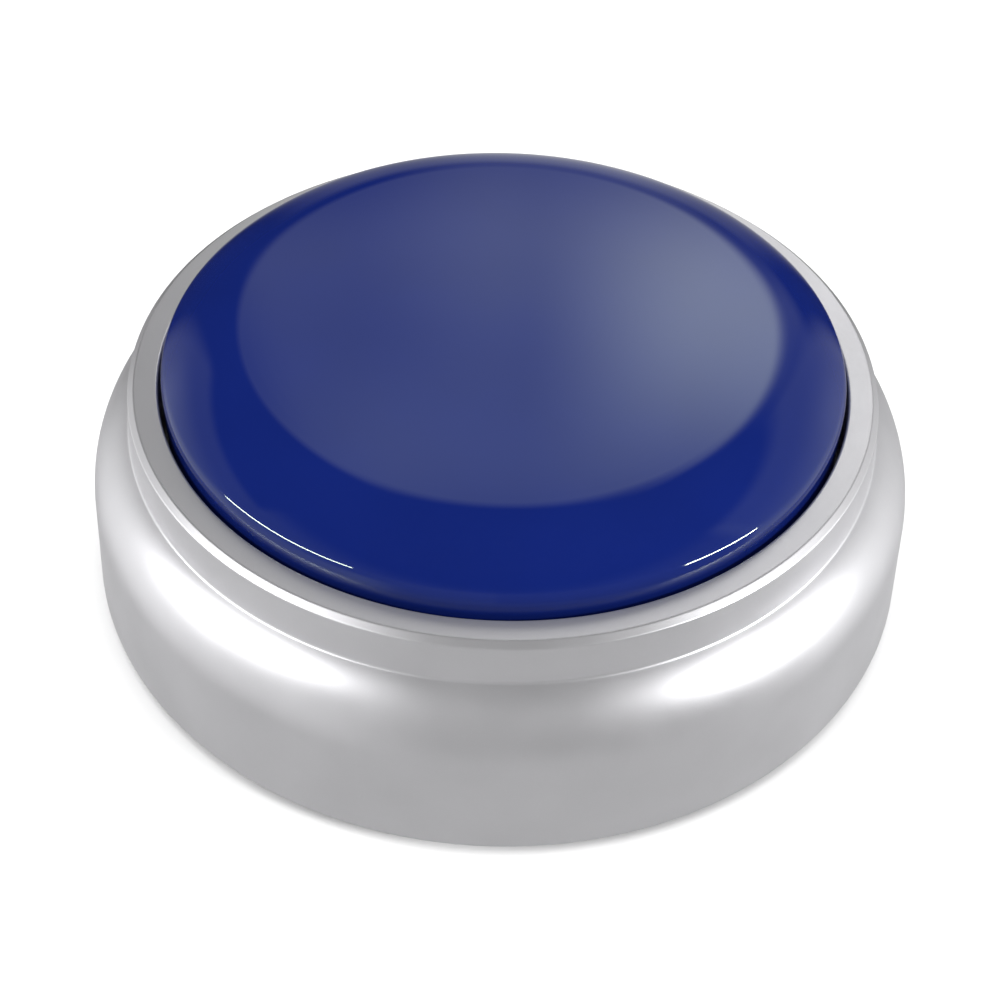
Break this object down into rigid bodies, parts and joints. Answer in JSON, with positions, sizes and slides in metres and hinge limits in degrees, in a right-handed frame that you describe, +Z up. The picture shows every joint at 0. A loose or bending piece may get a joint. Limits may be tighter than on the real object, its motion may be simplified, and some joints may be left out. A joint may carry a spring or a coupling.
{
  "type": "quiz buzzer",
  "caption": "Round table-top quiz buzzer: a wide glossy push cap that travels in a stepped satin housing and springs back, with a battery door and loudspeaker underneath.",
  "frame": {"origin": "on the table, at the centre of the circle that the buzzer's outside is turned about, level with the bottoms of the rubber feet", "axes": "+Z up along the push cap's travel; the battery door is on the -Y half of the underside and the loudspeaker on the +Y half; +X is the battery door's hinge side"},
  "size_m": [0.0898, 0.0898, 0.0317],
  "materials": {
    "satin_silver": "fine satin silver lacquer on moulded plastic",
    "cap_blue": "glossy moulded",
    "black_plastic": "fine spark-eroded texture",
    "grey_plastic": "plain moulded",
    "foot_rubber": "matte",
    "foam": "open-cell foam",
    "spring_steel": "drawn wire",
    "screw_steel": "zinc plated",
    "nickel": "nickel plated sheet and wire",
    "cell_sleeve": "printed shrink sleeve, no lettering",
    "speaker_steel": "zinc plated pressing",
    "ferrite": "sintered, matte",
    "cone_paper": "pressed paper",
    "copper_coil": "enamelled copper winding",
    "board_green": "solder mask on glass-fibre laminate",
    "board_brown": "paper laminate",
    "chip_resin": "cast resin drop",
    "capacitor_sleeve": "shrink sleeve, no lettering",
    "resistor_ceramic": "glazed chip",
    "lead_red": "flexible insulation",
    "lead_black": "flexible insulation"
  },
  "bodies": {
    "base": {"housing_shell": "satin_silver", "inner_deck": "grey_plastic", "bump_ring": "foam", "deck_screws": "screw_steel", "return_springs": "spring_steel", "bottom_cover": "black_plastic", "housing_screws": "screw_steel", "rubber_feet": "foot_rubber", "aaa_cells": "cell_sleeve", "contact_bridge": "nickel", "contact_positive": "nickel", "contact_negative": "nickel", "battery_springs": "nickel", "speaker_gasket": "foam", "speaker_frame": "speaker_steel", "speaker_magnet": "ferrite", "speaker_yoke": "speaker_steel", "speaker_cone": "cone_paper", "voice_coil": "copper_coil", "speaker_terminals": "board_brown", "speaker_retainer": "grey_plastic", "speaker_screws": "screw_steel", "circuit_board": "board_green", "board_screws": "screw_steel", "sound_chip": "chip_resin", "capacitor": "capacitor_sleeve", "board_resistors": "resistor_ceramic", "switch_body": "black_plastic", "switch_terminals": "nickel", "power_switch_body": "speaker_steel", "power_switch_pins": "nickel", "lead_battery_plus": "lead_red", "lead_battery_minus": "lead_black", "lead_switched": "lead_red", "lead_speaker_plus": "lead_red", "lead_speaker_minus": "lead_black"},
    "cap": {"push_cap": "cap_blue"},
    "button": {"switch_button": "black_plastic"},
    "knob": {"power_switch_knob": "black_plastic"},
    "door": {"battery_door": "black_plastic", "battery_door_screw": "screw_steel"}
  },
  "joints": [
    {"name": "cap_press", "type": "slide", "parent": "base", "child": "cap", "axis": [0, 0, -1], "range_m": [0, 0.0022], "stiffness_N_per_m": 500, "springref_m": -0.004, "deforming": ["return_springs"]},
    {"name": "button_press", "type": "slide", "parent": "base", "child": "button", "axis": [0, 0, -1], "range_m": [0, 0.00025]},
    {"name": "power_slide", "type": "slide", "parent": "base", "child": "knob", "axis": [0, -1, 0], "range_m": [0, 0.002]},
    {"name": "door_hinge", "type": "hinge", "parent": "base", "child": "door", "pos_m": [0.0266, -0.0131, 0.0023], "axis": [0, -1, 0], "range_deg": [0, 90]}
  ],
  "couplings": [
    {"joint": "button_press", "follows": "cap_press", "ratio": 0.11}
  ]
}
